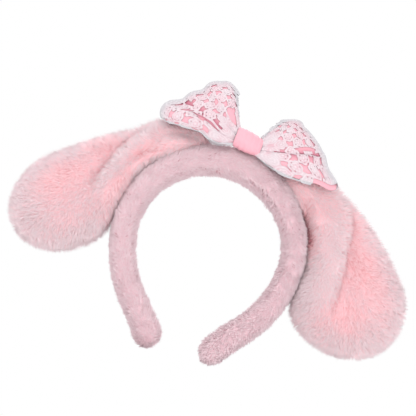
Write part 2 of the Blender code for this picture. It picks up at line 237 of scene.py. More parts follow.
def new_material(name):
    """A material with its node tree and its shader."""
    made = bpy.data.materials.new(name)
    made.use_nodes = True
    return made, made.node_tree, made.node_tree.nodes["Principled BSDF"]


def node(tree, kind, inputs=None, **settings):
    """A new shader node. An input is a value to set or another node's output to link."""
    made = tree.nodes.new(kind)
    for key, value in settings.items():
        setattr(made, key, value)
    for key, value in (inputs or {}).items():
        if isinstance(value, bpy.types.NodeSocket):
            tree.links.new(value, made.inputs[key])
        else:
            made.inputs[key].default_value = value
    return made


def mix_colour(tree, factor, first, second, blend="MIX"):
    inputs = {0: factor, 6: first, 7: second}  # 6 and 7 are the two colours
    settings = {"data_type": "RGBA", "blend_type": blend, "clamp_factor": True}
    return node(tree, "ShaderNodeMix", inputs, **settings).outputs[2]


def math_node(tree, operation, *values, clamp=False):
    inputs = dict(enumerate(values))
    return node(tree, "ShaderNodeMath", inputs, operation=operation, use_clamp=clamp).outputs[0]


def add_bump(tree, shader, relief, strength, distance):
    inputs = {"Height": relief.outputs[0], "Strength": strength, "Distance": distance}
    tree.links.new(node(tree, "ShaderNodeBump", inputs).outputs[0], shader.inputs["Normal"])


def plush_material(name, cleft_shade, shadow, deep, middle, pale, root_tint_and_shade):
    """Pile. The u of the map is how pale a lock is, and v runs from its root to its tip.

    Five tones go from painted shade at the bottom of a cleft, through painted shadow, to the pale
    rim. The tint of a lock's root is partly its own deeper colour and partly painted shade deep in
    the pile.
    """
    material, tree, shader = new_material(name)
    uv = node(tree, "ShaderNodeUVMap", uv_map=UV_NAME).outputs[0]
    parts = node(tree, "ShaderNodeSeparateXYZ", {0: uv}).outputs
    ramp = node(tree, "ShaderNodeValToRGB", {0: parts[0]})
    # The darkest stop: painted shade at the bottom of a cleft.
    ramp.color_ramp.elements[0].color = cleft_shade
    ramp.color_ramp.elements[1].color = pale
    for stop, tone in ((0.06, shadow), (0.16, deep), (0.55, middle)):
        ramp.color_ramp.elements.new(stop).color = tone
    # A lock's root is tinted darker and pinker: partly the pile's own deeper root colour, partly
    # painted shade deep in the pile.
    root = mix_colour(tree, 1.0, ramp.outputs[0], root_tint_and_shade, "MULTIPLY")
    depth = math_node(tree, "MULTIPLY", parts[1], 1.5, clamp=True)
    colour = mix_colour(tree, depth, root, ramp.outputs[0])
    tree.links.new(colour, shader.inputs["Base Color"])
    shader.inputs["Roughness"].default_value = 0.95
    shader.inputs["Specular IOR Level"].default_value = 0.15
    shader.inputs["Sheen Weight"].default_value = 0.55
    shader.inputs["Sheen Roughness"].default_value = 0.5
    shader.inputs["Sheen Tint"].default_value = pale
    return material


SATIN_FOLD_SHADE = 0.34  # the v of a loop's map where the cloth folds, and where painted shade makes its satin darkest
SATIN_FOLD_SHADE_HALF = 1 / 9  # how far either side of it the painted fold shade fades out


def satin_material():
    """Woven satin ribbon: fine ribs, a soft shine and a stripe of painted shade along a loop's
    fold.
    """
    material, tree, shader = new_material("satin_ribbon")
    uv = node(tree, "ShaderNodeUVMap", uv_map=UV_NAME).outputs[0]
    place = node(tree, "ShaderNodeTexCoord").outputs["Object"]
    cloud = node(tree, "ShaderNodeTexNoise", {"Vector": place, "Scale": 55.0, "Detail": 2.0})
    colour = mix_colour(tree, cloud.outputs[0], srgb(216, 152, 165), srgb(224, 165, 176))
    across = node(tree, "ShaderNodeSeparateXYZ", {0: uv}).outputs[1]
    away = math_node(tree, "ABSOLUTE", math_node(tree, "SUBTRACT", across, SATIN_FOLD_SHADE))
    fold = math_node(tree, "MULTIPLY_ADD", away, -1 / SATIN_FOLD_SHADE_HALF, 1.0, clamp=True)
    # Painted shade along the fold.
    colour = mix_colour(tree, fold, colour, srgb(172, 96, 114))
    tree.links.new(colour, shader.inputs["Base Color"])
    ribs = node(tree, "ShaderNodeTexWave", {"Vector": place, "Scale": 900.0, "Distortion": 1.5})
    add_bump(tree, shader, ribs, 0.08, 0.2 * MM)
    shader.inputs["Roughness"].default_value = 0.38
    shader.inputs["Specular IOR Level"].default_value = 0.45
    return material


def lace_material():
    """White lace. The u of its map is 1 on a cord, and the v is 1 where satin lies behind.

    Lace over satin takes some of its pink, in clouds, and lace past its edge is greyer: painted
    shade where no satin lies behind it.
    """
    material, tree, shader = new_material("white_lace")
    uv = node(tree, "ShaderNodeUVMap", uv_map=UV_NAME).outputs[0]
    parts = node(tree, "ShaderNodeSeparateXYZ", {0: uv}).outputs
    place = node(tree, "ShaderNodeTexCoord").outputs["Object"]
    cloud = node(tree, "ShaderNodeTexNoise", {"Vector": place, "Scale": 130.0, "Detail": 1.0})
    sheer = math_node(tree, "MULTIPLY_ADD", cloud.outputs[0], 3.0, -1.0, clamp=True)
    backed = mix_colour(tree, sheer, srgb(203, 166, 175), srgb(201, 187, 192))
    # With no satin behind it, web and cord take greyer tones: painted shade.
    web = mix_colour(tree, parts[1], srgb(178, 176, 180), backed)
    cord = mix_colour(tree, parts[1], srgb(194, 192, 195), srgb(212, 198, 203))
    tree.links.new(mix_colour(tree, parts[0], web, cord), shader.inputs["Base Color"])
    shader.inputs["Roughness"].default_value = 0.85
    shader.inputs["Specular IOR Level"].default_value = 0.25
    return material


def fibre_material(name, first, second, scale, roughness):
    """Two close tones in fine noise with a matching bump, for foam, felt, wadding and thread."""
    material, tree, shader = new_material(name)
    place = node(tree, "ShaderNodeTexCoord").outputs["Object"]
    noise = node(tree, "ShaderNodeTexNoise", {"Vector": place, "Scale": scale, "Detail": 4.0})
    tree.links.new(mix_colour(tree, noise.outputs[0], first, second), shader.inputs["Base Color"])
    add_bump(tree, shader, noise, 0.4, 0.4 * MM)
    shader.inputs["Roughness"].default_value = roughness
    return material


# Each plush's first two tones are painted shade: the bottom of a cleft, then shadow.
EAR_PLUSH = plush_material(
    "ear_plush",
    srgb(200, 114, 125),
    srgb(244, 182, 187),
    srgb(255, 215, 219),
    srgb(252, 214, 219),
    srgb(237, 219, 223),
    (1.02, 0.86, 0.87, 1),
)
BAND_PLUSH = plush_material(
    "band_plush",
    srgb(150, 104, 114),
    srgb(200, 150, 160),
    srgb(224, 196, 203),
    srgb(230, 205, 211),
    srgb(234, 212, 217),
    (1.02, 0.90, 0.92, 1),
)
SATIN = satin_material()
LACE = lace_material()
THREAD = fibre_material("sewing_thread", srgb(214, 168, 178), srgb(228, 188, 196), 3000.0, 0.6)
FELT = fibre_material("felt", srgb(225, 178, 188), srgb(240, 200, 208), 1500.0, 1.0)
FOAM = fibre_material("foam", srgb(236, 226, 200), srgb(246, 238, 216), 1200.0, 0.9)
WADDING = fibre_material("wadding", srgb(236, 234, 230), srgb(250, 249, 246), 400.0, 1.0)
PLASTIC = fibre_material("moulded_plastic", srgb(228, 226, 220), srgb(238, 236, 230), 60.0, 0.35)
for cad_name, finish in (
    ("band_core", PLASTIC),
    ("left_ear_tack_thread", THREAD),
    ("right_ear_tack_thread", THREAD),
    ("bow_gather_thread", THREAD),
    ("bow_tack_thread", THREAD),
    ("bow_felt_pad", FELT),
):
    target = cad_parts[cad_name]
    target.data.materials.clear()
    target.data.materials.append(finish)


THREAD_RADIUS = 0.3 * MM


def thread_piece(name, points, body, stands_for):
    """A sewing thread along points: a slim round tube."""
    curve = bpy.data.curves.new(name, "CURVE")
    curve.dimensions = "3D"
    spline = curve.splines.new("POLY")
    spline.points.add(len(points) - 1)
    for index, point in enumerate(points):
        spline.points[index].co = (*(float(value) for value in point), 1)
    curve.bevel_depth = THREAD_RADIUS
    curve.bevel_resolution = 1
    curve.use_fill_caps = True
    piece = bpy.data.objects.new(name, curve)
    bpy.context.scene.collection.objects.link(piece)
    curve.materials.append(THREAD)
    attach(piece, body)
    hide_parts(*stands_for)
    return piece


# ---------------------------------------------------------------- the band
# The same arcs as the CAD hoop: radius and sweep of crown, leg and tail.
BAND_THICKNESS, BAND_DEPTH = 20 * MM, 26 * MM
ARCS = (
    (65 * MM, math.radians(100)),
    (92 * MM, math.radians(32)),
    (-200 * MM, math.radians(11)),
)
HALF_HOOP = sum(abs(radius) * sweep for radius, sweep in ARCS)
BAND_PILE = 3.3 * MM
BAND_LOCKS = 19500  # locks of pile on each half of the band
BAND_LOCK_WIDTH = 0.78 * MM * 1
BAND_SKIN = 1.8 * MM  # how far the cloth lies inside the CAD sleeve
FOAM_SKIN = 4.6 * MM
BAND_SQUARENESS = 2.5  # 2 is an oval section, and more is squarer
# Changes of width on the inside face: depth, distance from the crown and run, in millimetres.
INSIDE_WAISTS = ((1.9, 76, 32), (-1.0, 172, 24), (-1.8, -193, 14))


def hoop_frame(distances):
    """Centreline places (x, z) and outward directions, by signed distance from the crown."""
    side = np.where(distances < 0, -1.0, 1.0)
    left = np.abs(distances)
    x, z = np.zeros_like(left), np.full_like(left, BAND_THICKNESS / 2)
    heading = np.zeros_like(left)
    for radius, sweep in ARCS:
        used = np.minimum(left, abs(radius) * sweep)
        turned = heading + used / radius
        x += radius * (np.sin(turned) - np.sin(heading))
        z += radius * (np.cos(turned) - np.cos(heading))
        heading = turned
        left = left - used
    return np.stack([side * x, z], -1), np.stack([side * np.sin(heading), np.cos(heading)], -1)


RIGHT_TIP_SHORT = 3.0 * MM  # how much shorter the right leg is stuffed than the left
SEAM_ANGLE = math.pi + 0.62  # round the section from the outside face, towards the front


def seam_lip(distance):
    """How far the seam gapes, from 0 to 1: most just right of the crown."""
    return np.exp(-(((distance - 33 * MM) / (15 * MM)) ** 2))[:, None]


def loft(distance):
    """How far the outside face stands proud of the even section: plump crown, lean legs."""
    crown = 2.7 * np.exp(-((distance / (45 * MM)) ** 2))
    beside_bow = 3.0 * np.exp(-(((distance - 27 * MM) / (18 * MM)) ** 2))
    leg = 1.0 * smooth_step(80 * MM, 110 * MM, np.abs(distance))
    return (crown + beside_bow - leg) * MM


def band_grid(inset, rows, columns, reach, round_end):
    """The sleeve as a grid: rounded tips and a shallow groove along the seam."""
    distance = np.linspace(-reach, reach - RIGHT_TIP_SHORT, rows)
    place, outward = hoop_frame(distance)
    left_over = np.minimum(distance + reach, reach - RIGHT_TIP_SHORT - distance)
    tip = np.clip(left_over / round_end, 0, 1)
    scale = np.sqrt(np.clip(1 - (1 - tip) ** 2, 0.0006, 1))
    angle = 2 * math.pi * np.arange(columns) / columns
    cosine, sine = np.cos(angle), np.sin(angle)
    power = 2 / BAND_SQUARENESS
    from_seam = (angle - SEAM_ANGLE + math.pi) % (2 * math.pi) - math.pi
    groove = np.exp(-(from_seam / 0.12) ** 2)
    waisted = sum(
        depth * MM * np.exp(-(((distance / MM - middle) / run) ** 2))
        for depth, middle, run in INSIDE_WAISTS
    )
    shift = np.where(cosine > 0, loft(distance)[:, None], -waisted[:, None])
    half = BAND_THICKNESS / 2 - inset + shift
    out = half * np.sign(cosine) * np.abs(cosine) ** power
    back = (BAND_DEPTH / 2 - inset) * np.sign(sine) * np.abs(sine) ** power
    shrink = 1 - (0.11 + 0.20 * seam_lip(distance)) * groove
    lumps = 1 + 0.012 * np.sin(distance * 260 + 1.0)[:, None] * np.cos(2 * angle)[None]
    lumps += 0.010 * np.sin(distance * 610)[:, None] * np.sin(3 * angle + 0.5)[None]
    out = out * shrink * scale[:, None] * lumps
    back = back[None] * shrink * scale[:, None] * lumps
    x = place[:, 0, None] + outward[:, 0, None] * out
    z = place[:, 1, None] + outward[:, 1, None] * out
    grid = np.stack([x, back, z], -1)
    level, upward = outward[:, 0, None] * cosine, outward[:, 1, None] * cosine
    facing = np.stack([level, sine * np.ones((rows, 1)), upward], -1)
    grid += facing * (0.30 * MM * ripple(grid, 9 * MM, 8) * scale[:, None])[..., None]
    return grid, groove, distance


def build_band():
    """The plush sleeve in two halves, with its seam thread and the foam inside."""
    rows, columns = 260, 56
    reach = HALF_HOOP - 2.5 * MM
    foam = band_grid(FOAM_SKIN, 90, 28, reach - 6 * MM, 8 * MM)[0]
    data = build_mesh("band_foam_pad", foam.reshape(-1, 3), outward_grid(foam)[1])
    add_piece("band_foam_pad", data, FOAM, "headband", ("band_foam",))
    skin, groove, distance = band_grid(BAND_SKIN, rows, columns, reach, 11 * MM)
    normals, quads = outward_grid(skin)
    seam_column = round(SEAM_ANGLE / (2 * math.pi) * columns)
    thread_piece("band_seam", skin[12:-12:3, seam_column], "headband", ["band_seam_thread"])
    along = unit(np.gradient(skin, axis=0))
    across = unit(np.cross(normals, along))
    comb = unit(along + across * 0.8 * ripple(skin, 8 * MM, 3)[..., None])
    rng = np.random.default_rng(11)
    lip = seam_lip(distance)
    shade = np.full((rows, columns), 0.62) + 0.04 * np.sin(distance * 170)[:, None]
    # Darker along the seam's groove, most where the seam gapes: painted shade in the groove.
    shade = shade - (0.25 + 0.95 * lip) * groove[None] + 0.05 * ripple(skin, 6 * MM, 5)
    weight = 1 - (0.6 + 0.35 * lip) * groove[None]
    for label, keep in (("left", distance[:-1] < 0), ("right", distance[:-1] >= 0)):
        part = quads[np.repeat(keep, columns)]
        fields = [skin, normals, comb, shade[..., None]]
        roots, up, way, tone = scatter(fields, part, weight, BAND_LOCKS, rng)
        clump = ripple(roots, 3.5 * MM, 6)[:, None]
        length = BAND_PILE * (1 + 0.10 * clump) * rng.uniform(0.7, 1.3, (BAND_LOCKS, 1))
        width = BAND_LOCK_WIDTH * rng.uniform(0.7, 1.3, (BAND_LOCKS, 1))
        mixed = tone + rng.normal(0, 0.20, (BAND_LOCKS, 1)) + 0.06 * clump
        # Locks deep in the seam's groove take the darkest tone, painted cleft shade.
        tone = np.where(tone < CLEFT_SHADE_BELOW, 0.0, np.maximum(mixed, 0.07))
        pile = tufts(roots, up, way, 0.70 + 0.06 * clump, length, width, tone, rng)
        skin_uv = np.stack([np.clip(shade, 0.03, 0.97), np.full_like(shade, 0.25)], -1)
        data = with_pile(f"band_plush_{label}", skin, part, skin_uv, normals, pile)
        add_piece(data.name, data, BAND_PLUSH, "headband", ("band_cover",))


# ---------------------------------------------------------------- the ears
EAR_PILE = 5.0 * MM
EAR_LOCKS = 19500  # locks of pile on each face of an ear
EAR_LOCK_WIDTH = 0.60 * MM * 1
EAR_Y = 4 * MM  # how far behind the middle of the band an ear hangs
BAND_CLEARANCE = BAND_THICKNESS / 2 - 0.4 * MM  # least space from the hoop's centreline to an ear
# In millimetres, by distance along the ear. A share is across it: -1 at the edge along the band,
# 0 on the middle line and 1 at the outer edge.
# side, path: the middle line is a cubic curve by four (x, z) points, mirrored for a side of -1.
# lead: how much of the line, tucked in beside the crown, comes before distance 0.
# bend: the stretch of the line, from 0 to 1, where the cloth turns between band and ear.
# outer, inner, cap: half widths of the cloth on each side, and where its round end starts.
# fold: the share at which a crease crosses. On its band side lies a lobe, and past it a hollow.
# fold_life: the distances where the fold wakes, is whole, starts to fade and is gone.
# shelf: the height of the lobe, the depth of the hollow, and how broad the lobe is.
# pinch: a dimple, by distance, share, depth and size. Its pile is darker there, painted shade.
# cleft: a cut beside the band, by distance, half run, share and depth. Its pile darkens with the
# depth, painted shade.
# swell: the height of a soft ridge along the band.
# tone and the fold's painted shade: how pale the open cloth is, and how much darker it is along the
# fold.
# patches: darker places, by distance, share, width as a share and length.
EARS = {
    "right": {
        "side": 1,
        "lead": 19,
        "path": ((30, 13.5), (62, 23), (108, -22), (128.5, -99.5)),
        "bend": (0.19, 0.33),
        "outer": ((-19, 11), (-8, 15), (8, 16), (25, 17), (50, 24), (75, 31), (104, 39), (200, 39)),
        "inner": (
            (-19, 14),
            (-8, 17),
            (8, 13),
            (25, 10),
            (50, 17),
            (75, 27),
            (90, 37.5),
            (105, 42.5),
            (120, 43),
            (200, 43),
        ),
        "cap": 102,
        "fold": ((20, 1.15), (46, 0.68), (60, 0.22), (75, -0.10), (104, -0.38), (140, -0.45)),
        "fold_life": (28, 46, 92, 122),
        "shelf": (3.6, 3.8, 0.95),
        "pinch": (22, -0.75, 5.0, 9),
        "cleft": (44, 19, -0.95, 10.0),
        "swell": 0.0,
        "crease_shade": 0.18,
        "tone": 0.64,
        "patches": ((85, 0.40, 0.40, 27), (118, -0.12, 0.35, 15), (50, 0.62, 0.3, 12)),
    },
    "left": {
        "side": -1,
        "lead": 23,
        "path": ((25, 16.5), (57, 31), (104, -45), (140.5, -82.4)),
        "bend": (0.23, 0.38),
        "outer": (
            (-23, 11),
            (-13, 14),
            (8, 14.5),
            (24, 15.3),
            (46, 20.8),
            (70, 26),
            (92, 30.5),
            (200, 30.5),
        ),
        "inner": (
            (-23, 14),
            (-13, 17),
            (8, 12),
            (24, 9),
            (46, 15.5),
            (70, 27),
            (86, 35.5),
            (200, 35.5),
        ),
        "cap": 90,
        "fold": ((0, 1.2), (19, 0.78), (42, 0.36), (56, 0.02), (75, -0.27), (110, -0.5)),
        "fold_life": (8, 26, 58, 84),
        "shelf": (4.2, 4.6, 0.36),
        "pinch": (30, -0.10, 2.2, 9),
        "cleft": (78, 7, -1.0, 2.0),
        "swell": 3.6,
        "crease_shade": 0.50,
        "tone": 0.74,
        "patches": (
            (58, -0.75, 0.35, 18),
            (88, 0.40, 0.40, 22),
            (52, 0.80, 0.34, 16),
            (22, -0.3, 0.5, 12),
        ),
    },
}


def bezier(points, t):
    """A cubic curve through its first and last of four (x, z) points, in millimetres."""
    a, b, c, d = (np.array(point) * MM for point in points)
    t = t[:, None]
    return a * (1 - t) ** 3 + 3 * b * t * (1 - t) ** 2 + 3 * c * t**2 * (1 - t) + d * t**3


def ear_axis(spec, rows):
    """Stations along an ear, closer towards its tip: places, headings, distances and length."""
    fine = bezier(spec["path"], np.linspace(0, 1, 800))
    steps = np.linalg.norm(np.diff(fine, axis=0), axis=1)
    reached = np.concatenate([[0], np.cumsum(steps)])
    even = np.linspace(0, 1, rows)
    share = np.sin(even * math.pi / 2) * 0.55 + even * 0.45
    wanted = share * reached[-1]
    place = np.stack([np.interp(wanted, reached, fine[:, k]) for k in (0, 1)], -1)
    heading = unit(np.gradient(fine, axis=0))
    heading = np.stack([np.interp(wanted, reached, heading[:, k]) for k in (0, 1)], -1)
    return place, unit(heading), wanted, reached[-1]


def profile(points, along, softness=6.0):
    """Values through (distance, value) points in millimetres, with the corners rounded."""
    distances, values = np.array(points, float).T
    around = np.linspace(-1.5, 1.5, 13) * softness * MM
    weights = np.exp(-np.linspace(-1.5, 1.5, 13) ** 2)
    found = [np.interp((along + shift) / MM, distances, values) for shift in around]
    return np.tensordot(weights / weights.sum(), np.array(found), 1)


def ear_half_width(spec, edge, along, total):
    """Half width of the cloth on one side, closed by a round end."""
    start = spec["cap"] * MM
    beyond = np.clip((along - start) / (total - start), 0, 0.9997)
    return profile(spec[edge], along) * MM * np.sqrt(1 - beyond**2.1)


def ear_grid(spec, rows, columns, inset):
    """An ear's cloth as a closed grid, and for its pile: comb, tone and nearness to the rim.

    The front is a lobe along the band that folds over a hollow, which rises to the outer rim.
    """
    place, heading, along, total = ear_axis(spec, rows)
    total, along = total - spec["lead"] * MM, along - spec["lead"] * MM
    opening = np.clip(along / (9 * MM) + spec["lead"] / 9, 0, 1)
    opening = np.sqrt(np.clip(1 - (1 - opening) ** 2, 0.003, 1))
    outer = ear_half_width(spec, "outer", along, total) * opening
    inner = ear_half_width(spec, "inner", along, total) * opening
    s = (along / total)[:, None]
    outer_side = np.stack([-heading[:, 1], heading[:, 0]], -1)
    angle = 2 * math.pi * np.arange(columns) / columns
    cosine, sine = np.cos(angle)[None], np.sin(angle)[None]

    hoop = hoop_frame(np.linspace(0, HALF_HOOP, 240))[0]
    for _ in range(80):  # the inner edge lies along the band
        edge = place - outer_side * inner[:, None]
        away = np.linalg.norm(edge[:, None] - hoop[None], axis=2).min(axis=1)
        near = away < BAND_CLEARANCE
        inner = np.where(near & (s[:, 0] > 0.10), inner - 0.4 * MM, inner)
    reach = np.where(cosine > 0, outer[:, None], inner[:, None]) - inset
    c = cosine * np.ones_like(s)

    # Thickness, over the whole section.
    widest = max(outer.max(), inner.max())
    full = 7.0 + 3.5 * smooth_step(0.1, 0.5, s) - 2.5 * (1 - smooth_step(-0.12, 0.06, s))
    taper = np.sqrt(np.clip((outer + inner) / (2 * widest), 0.02, 1))[:, None]
    full = full * opening[:, None] * (1 - smooth_step(0.3, 0.7, s) * 0.75 * (1 - taper))
    front = np.clip(sine, 0, 1) ** 0.5
    beside_band = np.where(c < 0, 1.0, 0.0) * (1 - smooth_step(0.55, 0.75, s))
    steep = np.where(sine > 0, 0.66 - 0.28 * beside_band, 0.85)
    height = full * MM * np.sign(sine) * np.abs(sine) ** steep - inset * sine

    # Relief of the front face.
    off = c - profile(spec["fold"], along)[:, None]
    wake, live, fade, gone = (value * MM for value in spec["fold_life"])
    life = (smooth_step(wake, live, along) * (1 - smooth_step(fade, gone, along)))[:, None]
    raised, sunk, broad = spec["shelf"]
    shelf = 1 - smooth_step(-0.10, 0.03, off)
    lobe = raised * shelf * np.exp(-((np.minimum(off + 0.15, 0) / (0.55 + 0.4 * broad)) ** 2))
    hollow = sunk * smooth_step(-0.06, 0.07, off) * np.exp(-((np.maximum(off, 0) / 0.5) ** 2))
    where, across, depth, size = spec["pinch"]
    pinch = np.exp(-(((along[:, None] / MM - where) / size) ** 2) - ((c - across) / 0.35) ** 2)
    middle, half_run, beside, drop = spec["cleft"]
    cleft = np.exp(-(((along[:, None] / MM - middle) / half_run) ** 2) - ((c - beside) / 0.18) ** 2)
    pleats = np.cos(c * 9 + 1.5) * np.exp(-np.maximum(s, 0) / 0.10) * opening[:, None]
    along_band = smooth_step(-0.15, -0.03, s) * (1 - smooth_step(0.45, 0.65, s))
    at_root = 1 - smooth_step(0.0, 0.15, s)
    swell = np.exp(-(((c + 0.70 - 0.35 * at_root) / (0.32 + 0.15 * at_root)) ** 2))
    swell = spec["swell"] * swell * along_band
    relief = ((lobe - hollow) * life + swell - depth * pinch - drop * cleft + 0.8 * pleats) * MM
    waves = (0.8 * np.sin(s * 11 + c * 2.0) + 0.4 * np.sin(s * 23 - c * 5)) * opening[:, None] * MM
    height = height + front * (relief + waves)
    y = EAR_Y * smooth_step(0, 0.25, s) - height
    flat = place[:, None] + outer_side[:, None] * (c * reach)[..., None]
    grid = np.stack([spec["side"] * flat[..., 0], y, flat[..., 1]], -1)

    # Tone and comb of the pile.
    patch = np.zeros_like(c)
    for spot, beside, wide, long in spec["patches"]:
        distance = ((along[:, None] / MM - spot) / long) ** 2 + ((c - beside) / wide) ** 2
        patch = np.maximum(patch, np.exp(-(distance**1.3)))
    # Near the rims the pile takes its pale mauve tone: partly its own paler tone, partly painted
    # shade where the cloth turns away from the light.
    rim = np.maximum(smooth_step(0.50, 0.96, np.abs(c)), smooth_step(0.77, 0.97, s))
    # Darker in the dimple and in the cleft: painted shade.
    pale = spec["tone"] + 0.30 * rim - 0.20 * hollow / sunk * life - 0.4 * pinch - drop / 6 * cleft
    pale -= (spec["tone"] - 0.24) * patch
    # Painted shade along the fold's crease.
    pale -= spec["crease_shade"] * np.exp(-(((off - 0.04) / 0.07) ** 2)) * life
    pale += 0.40 * shelf * life * np.exp(-((np.minimum(off + 0.1, 0) / broad) ** 2))
    pale = np.where(sine < 0, 0.50 + 0.4 * rim, pale)
    down, outwards = (
        np.stack([spec["side"] * way[:, 0], np.zeros(rows), way[:, 1]], -1)[:, None]
        for way in (heading, outer_side)
    )
    turn = 1.1 * shelf * np.exp(-((off / 0.3) ** 2)) * life * front
    comb = unit(down * (1 - 0.4 * np.abs(c)[..., None]) + outwards * (0.9 * c + turn)[..., None])
    return grid, comb, pale, rim


def build_ear(label, spec):
    """Plush on both faces, running from the band out to the ear, wadding and edge seam."""
    columns = 96
    grid, comb, pale, rim = ear_grid(spec, 120, columns, 0)
    normals, quads = outward_grid(grid)
    is_front = (np.arange(len(quads)) % columns) < columns // 2
    body = ("headband", f"{label}_ear")
    neck = bezier(spec["path"], np.array(spec["bend"]))
    start, end = ((spec["side"] * x, EAR_Y, z) for x, z in neck.tolist())
    rng = np.random.default_rng(23 if label == "left" else 29)
    # Skin deep in a cleft takes the darkest tone, painted cleft shade.
    skin_tone = np.where(pale < CLEFT_SHADE_BELOW, 0.02, np.clip(pale, 0.08, 0.97))
    skin_uv = np.stack([skin_tone, np.full_like(pale, 0.2)], -1)
    for face, keep in (("front", is_front), ("back", ~is_front)):
        part = quads[keep]
        fields = [grid, normals, comb, pale[..., None], rim[..., None]]
        roots, up, way, tone, rimmed = scatter(fields, part, 1 + 0.5 * rim, EAR_LOCKS, rng)
        clump = ripple(roots, 4 * MM, 12)[:, None]
        swirl = unit(np.cross(up, way)) * ripple(roots, 12 * MM, 13)[:, None]
        way = unit(way + 0.45 * swirl)
        full = EAR_PILE * (0.85 + 0.30 * rimmed + 0.10 * clump)
        length = full * rng.uniform(0.7, 1.3, (EAR_LOCKS, 1))
        width = EAR_LOCK_WIDTH * rng.uniform(0.7, 1.3, (EAR_LOCKS, 1))
        mottle = ripple(roots, 5 * MM, 14)[:, None]
        mixed = tone + rng.normal(0, 0.17, (EAR_LOCKS, 1)) + 0.06 * clump + 0.09 * mottle
        # Locks deep in a cleft take the darkest tone, painted cleft shade.
        tone = np.where(tone < CLEFT_SHADE_BELOW, 0.0, np.maximum(mixed, 0.07))
        pile = tufts(roots, unit(up), way, 0.60 + 0.06 * clump, length, width, tone, rng)
        data = with_pile(f"{label}_ear_plush_{face}", grid, part, skin_uv, normals, pile)
        stands_for = [f"{label}_ear_{face}_panel"]
        if face == "back":
            stands_for.append(f"{label}_ear_root")
        add_piece(data.name, data, EAR_PLUSH, body + (start, end), stands_for)

    inner = ear_grid(spec, 40, 28, 2.5 * MM)[0][9:-2]
    name = f"{label}_ear_wadding"
    data = build_mesh(name, inner.reshape(-1, 3), grid_quads(len(inner), 28, True))
    add_piece(name, data, WADDING, f"{label}_ear", (f"{label}_ear_filling",))
    edge = np.concatenate([grid[20:, 0], grid[:19:-1, columns // 2]])
    thread_piece(f"{label}_ear_edge_seam", edge, f"{label}_ear", [f"{label}_ear_edge_thread"])


# ---------------------------------------------------------------- the bow
BOW_CENTRE = Vector((4.5 * MM, -16.0 * MM, 28.5 * MM))
BOW_TURN = Matrix.Rotation(math.radians(8.0), 3, "Y")
WAIST_HALF_HEIGHT = 6.4 * MM
WAIST_LENGTH = 9 * MM
WAIST_DROP = 1.2 * MM  # the gathered cloth hangs below the middle of the knot
# The wings' outer edge for each side. Across is 0 at the low edge of the satin and 1 at its high
# edge, then degrees up from level, then millimetres of reach.
WINGS = {
    -1: (
        (-0.1, -12, 66.5),
        (0.05, -9, 67.5),
        (0.19, -2, 67),
        (0.31, 7, 57),
        (0.55, 22, 51),
        (0.78, 36, 50),
        (0.93, 46, 47.5),
        (1.1, 54, 34),
    ),
    1: (
        (-0.1, -6, 76),
        (0.03, -2.5, 75.5),
        (0.14, 4, 65.5),
        (0.32, 14, 57),
        (0.47, 23, 53.5),
        (0.62, 32, 45.5),
        (0.85, 43.5, 43),
        (1.0, 50, 36),
        (1.1, 56, 28),
    ),
}
RIBBON_HALF = 27 * MM
LOOP_RUN = 58 * MM  # length of cloth along one layer
FOLD_SHARE = 0.30  # where the front layer folds over itself, up from its low edge


def bow_world(points):
    """From the bow's own frame, with its middle at zero, to the shared frame."""
    return points @ np.array(BOW_TURN).T + np.array(BOW_CENTRE)


def wing_edge(side, column, q):
    """Degrees (column 1) or reach (column 2) of a wing's outer edge, with the corners rounded."""
    table = np.array(WINGS[side], float)
    shifts = np.linspace(-0.07, 0.07, 7)
    weights = np.exp(-((shifts / 0.045) ** 2))
    low, high = table[0], table[-1]
    found = 0
    for shift, weight in zip(shifts, weights / weights.sum()):
        found = found + weight * np.interp(q + shift, table[:, 0], table[:, column])
    slope = (high[column] - table[-2][column]) / (high[0] - table[-2][0])
    past, short = np.maximum(q - high[0], 0), np.minimum(q - low[0], 0)
    return found + past * slope + short * 20 * (column == 1)


def loop_surface(run, across, side):
    """Where satin lies in a loop. run is 0 to 2, out along the front and back behind it.

    across is -1 at the low edge and 1 at the high edge.
    """
    behind = smooth_step(0.75, 1.25, run)
    q = (across + 1) / 2
    out = np.sin(np.clip(run, 0, 2) * math.pi / 2) ** 0.9
    turn = np.cos(np.clip(run, 0, 2) * math.pi / 2)
    x = (q - FOLD_SHARE - 0.04 * side) / 0.075
    lap = x * np.exp(-(x**2)) * (1 - behind)  # the front layer folds over itself
    angle = wing_edge(side, 1, q) + (behind - 0.5) * (5 * (1 - q) + 2 * q)
    angle = np.radians(angle - 9.0 * lap * (0.35 + 0.65 * (1 - out)))
    reach = wing_edge(side, 2, q) + 2 * (behind - 0.5)
    reach = (reach + 0.8 * np.sin(q * 21 + side)) * MM
    waist = across * WAIST_HALF_HEIGHT - WAIST_DROP
    end_x, end_z = reach * np.cos(angle), reach * np.sin(angle)
    level = WAIST_LENGTH + (end_x - WAIST_LENGTH) * out
    low_run = 0.46 if side < 0 else 0.8  # how far out along the loop the sag runs
    sag = (3.7 + 0.3 * side) * MM * (1 - q) ** 2 * np.sin(np.clip(out / low_run, 0, 1) * math.pi)
    crest = 2.4 * MM * (side > 0) * q**2 * np.sin(np.clip(out, 0, 1) * math.pi)
    up = waist + (end_z - waist) * out - sag + crest
    # How far the two layers stand open, and the pleats: gathers at the waist, then soft folds.
    puff = 1.0 + 6.4 * np.sin(np.clip(out, 0, 1) * math.pi * 0.84) ** 0.8 * (1 - 0.35 * across**2)
    pleat = 0.6 * np.cos(across * 13 + side) * np.exp(-out / 0.35)
    pleat += 1.1 * np.cos(across * 6.5 + 0.6 + side) * np.sin(out * math.pi) ** 0.7
    pleat -= 2.8 * lap * (0.4 + 0.6 * out)
    bulge = np.sign(turn) * np.abs(turn) ** 0.5
    depth = -bulge * puff + pleat * np.sign(turn) * np.clip(np.abs(turn) * 3, 0, 1)
    return bow_world(np.stack([side * level, depth * MM, up], -1))


